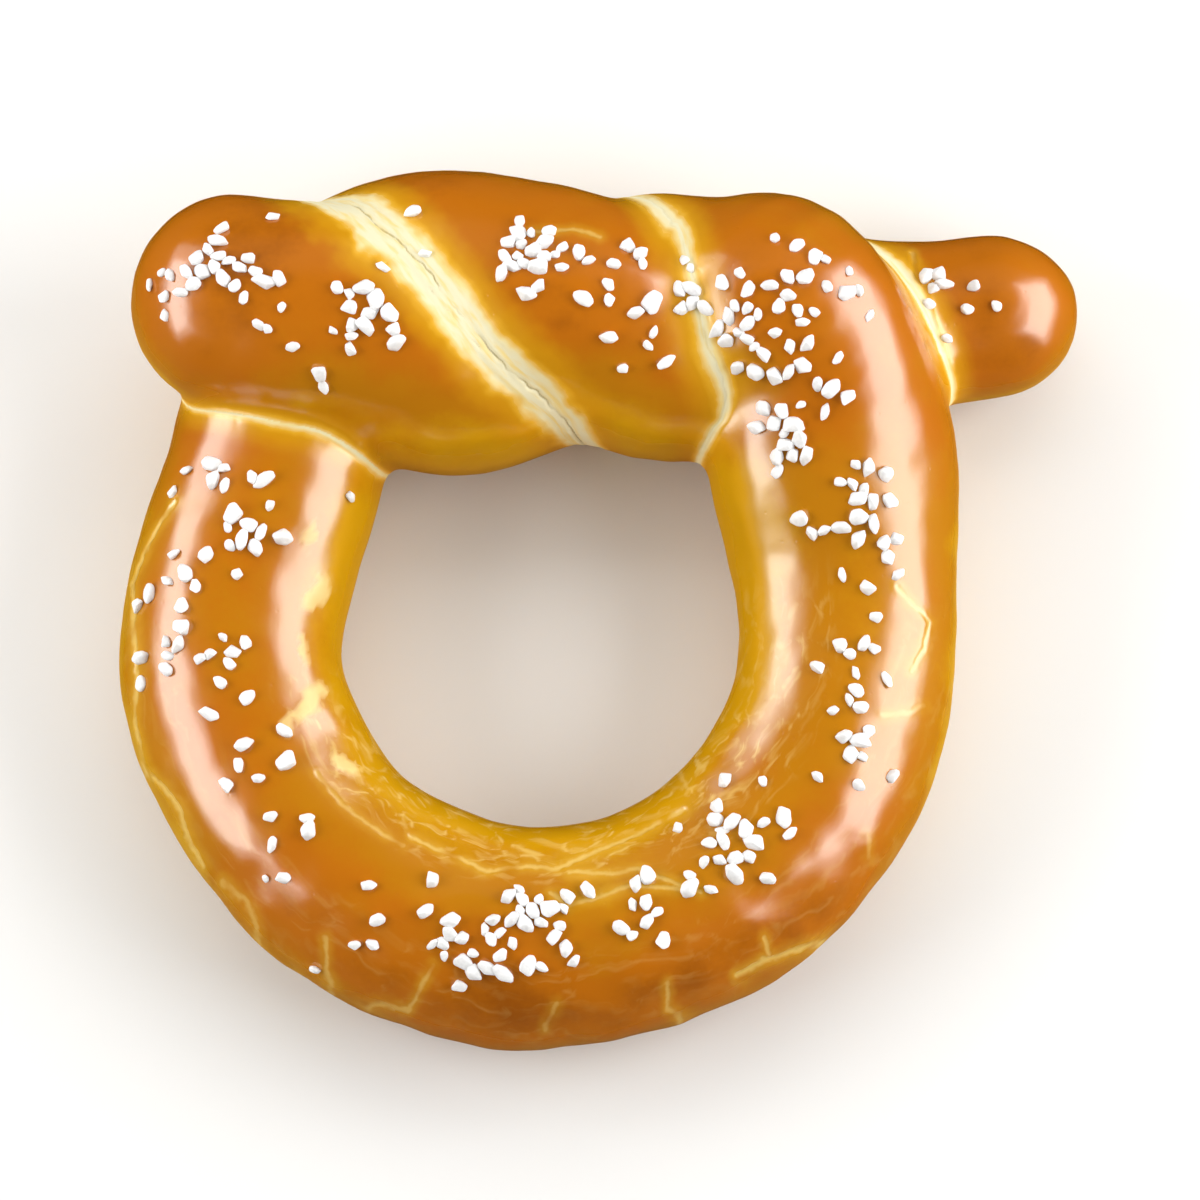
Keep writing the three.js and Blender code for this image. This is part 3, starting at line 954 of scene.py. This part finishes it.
thread_place = place_at(kept("fold_across") * 1.1 + bend * 0.3, kept("fold_along") * 0.16)
thread = soft_noise(thread_place, 1.0, 3)
depth = kept("fold_inside") + (thread - 0.5) * 0.7 + (cloud - 0.5) * 0.6 + (fray - 0.5) * 0.3
bare = depth.rise(-0.3, 0.9)
dough = (thread.rise(0.3, 0.56) * depth.rise(0.1, 1.5)).mix(PALE, CREAM)
skin = depth.rise(-4.5, -0.5).mix(skin, HALO_GOLD)
skin = depth.rise(-1.1, 0.2).mix(skin, HALO_YELLOW)
skin = bare.mix(skin, dough)
skin = (kept("patch") * 0.8).mix(skin, PALE)
off_line = kept("fold_gap") + (fray - 0.5) * 0.25
# painted shade down the open crack of each fold
fold_crack_shade = (1 - off_line.rise(0.03, 0.2)) * kept("fold_open")
skin = (fold_crack_shade * 0.65).mix(skin, CRACK_PAINTED_SHADE)
print("with bare dough:", len(baked_crust.node_tree.nodes), "nodes")

# %% [markdown]
# The lye bath leaves a glossy skin. Its gloss is shared between the shader's own
# highlight, which follows the fine wrinkles and pores, and a coat that lies smooth over
# them. The bare places are dull, because they tore after the bath, and the shine ends
# where the flanks turn down to the tray.

# %% Gloss and wrinkles
CRUST_ROUGHNESS, COAT_ROUGHNESS = 0.19, 0.19
DULLER_WHEN_BARE, DULLER_BELOW = 0.5, 0.3  # added roughness
COAT_SHARE = 0.6

dull = bare + kept("patch") * 0.8
pores = start.node("ShaderNodeTexVoronoi", Vector=place, Scale=330)
wrinkle = soft_noise(place, 420, 2)
relief = wrinkle * 0.8 + pores.rise(0.03, 0.12) * 0.5
bump = start.node("ShaderNodeBump", Height=relief, Distance=0.0001, Strength=0.45)
feed(
    crust_shader, start, Base_Color=skin, Normal=bump,
    Roughness=CRUST_ROUGHNESS + dull * DULLER_WHEN_BARE + (1 - up.rise(0.05, 0.5)) * DULLER_BELOW,
    Coat_Weight=up.rise(0.05, 0.6) * COAT_SHARE * (1 - dull * 0.8),
    Coat_Roughness=COAT_ROUGHNESS, Coat_IOR=1.8, Specular_IOR_Level=0.5,
)
crust.data.materials.clear()
crust.data.materials.append(baked_crust)
print("crust finished with", baked_crust.name)

# %% [markdown]
# The salt is white and nearly matt. A little light goes in and comes out again, which
# is what makes a lump of salt look soft and not like plaster.

# %% The salt's finish
SALT_GREY = (0.80, 0.80, 0.80, 1)
SALT_WHITE = (0.88, 0.88, 0.88, 1)

coarse_salt, salt_shader, salt_start = new_finish("coarse_salt")
frost = soft_noise(salt_start.node("ShaderNodeTexCoord", output=3), 1800, 3)
bump = salt_start.node("ShaderNodeBump", Height=frost, Distance=0.0001, Strength=0.5)
feed(
    salt_shader, salt_start, Base_Color=frost.rise(0.3, 0.7).mix(SALT_GREY, SALT_WHITE), Normal=bump,
    Roughness=0.5, Subsurface_Weight=0.25, Subsurface_Radius=(1, 1, 1), Subsurface_Scale=0.0006,
)
salt.data.materials.clear()
salt.data.materials.append(coarse_salt)
print("salt finished with", coarse_salt.name)

# %% [markdown]
# The dressed crust stands for the plain solid, and the salt lies on it. Both move with
# the one body that the part has.

# %% Fit both pieces to the model
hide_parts("pretzel")
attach(crust, "root")
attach(salt, "root")
print(crust.name, "and", salt.name, "move with root")

# %% [markdown]
# Two kinds of soft box light the pretzel. Some only shine: the crust mirrors them, a
# bright core in a dimmer glow at the left and right, which gives the long highlights on
# both sides of the ring their soft edges. The others only fill: they light the dough
# itself and can't be seen in its gloss. The pale floor and the surroundings don't
# mirror either, because their haze would wash out the brown of the flanks.

# %% Floor and light
LAMP_DISTANCE = 0.7  # m
COOL_WHITE = (0.92, 0.98, 0.98)
WARM_AIR, AIR_STRENGTH = (1.0, 0.97, 0.92, 1), 0.35
FLOOR_GREY = (0.80, 0.80, 0.79, 1)
FLOOR_SIZE = 12.0  # m
SHINE = [  # name, azimuth, elevation, width and height in m, radiance
    ("right_core", 97, 30, (0.85, 0.45), 5.6),
    ("right_glow", 97, 30, (1.05, 0.66), 1.7),
    ("left_core", -94, 29, (0.8, 0.32), 4.0),
    ("left_glow", -98, 29, (1.2, 0.5), 1.7),
]
FILL = [
    ("right_fill", 88, 30, (0.64, 0.5), 5.2),
    ("left_fill", -86, 30, (0.6, 0.32), 5.8),
    ("back_fill", 180, 45, (1.0, 0.5), 1.7),
]


def add_floor():
    bpy.ops.object.select_all(action="DESELECT")
    bpy.ops.mesh.primitive_plane_add(size=FLOOR_SIZE)
    floor = bpy.context.object
    floor.name = "floor"
    material, shader, start = new_finish("pale_floor")
    feed(shader, start, Base_Color=FLOOR_GREY, Roughness=0.8)
    floor.data.materials.append(material)
    floor.visible_glossy = False


def add_surroundings():
    world = bpy.data.worlds.new("surroundings")
    bpy.context.scene.world = world
    world.use_nodes = True
    background = world.node_tree.nodes["Background"]
    background.inputs["Color"].default_value = WARM_AIR
    background.inputs["Strength"].default_value = AIR_STRENGTH
    world.cycles_visibility.glossy = False


def add_softbox(name, azimuth, elevation, size, radiance, for_shine):
    """A rectangular light that faces the pretzel. Azimuth 0 is at the foot's side."""
    light = bpy.data.lights.new(name, "AREA")
    light.shape = "RECTANGLE"
    light.size, light.size_y = size
    light.energy = radiance * math.pi * size[0] * size[1]
    light.color = COOL_WHITE if for_shine else (1, 1, 1)
    lamp = bpy.data.objects.new(name, light)
    bpy.context.collection.objects.link(lamp)
    a, e = math.radians(azimuth), math.radians(elevation)
    towards = Vector((math.sin(a) * math.cos(e), -math.cos(a) * math.cos(e), math.sin(e)))
    lamp.location = towards * LAMP_DISTANCE
    lamp.rotation_euler = towards.to_track_quat("Z", "Y").to_euler()
    lamp.visible_diffuse, lamp.visible_glossy = not for_shine, for_shine


add_floor()
add_surroundings()
for settings in SHINE:
    add_softbox(*settings, for_shine=True)
for settings in FILL:
    add_softbox(*settings, for_shine=False)
print(len(SHINE), "soft boxes to mirror,", len(FILL), "to fill")

# %% [markdown]
# The picture is taken from the foot of the ring and from nearly above, because there
# the outline is the one that the photo shows.

# %% Camera
VIEW_ELEVATION = math.radians(77)
VIEW_DISTANCE = 1.4  # m
VIEW_WIDTH = 0.185  # m, what the picture takes in, across


def add_camera():
    camera = bpy.data.objects.new("camera", bpy.data.cameras.new("camera"))
    bpy.context.collection.objects.link(camera)
    middle = (cad_low + cad_high) / 2
    back = Vector((0, -math.cos(VIEW_ELEVATION), math.sin(VIEW_ELEVATION)))
    camera.location = middle + back * VIEW_DISTANCE
    camera.rotation_euler = back.to_track_quat("Z", "Y").to_euler()
    camera.data.lens = camera.data.sensor_width * VIEW_DISTANCE / VIEW_WIDTH
    bpy.context.scene.camera = camera


add_camera()
bpy.context.scene.view_settings.view_transform = "Standard"
print("the picture takes in", round(1000 * VIEW_WIDTH), "mm across")
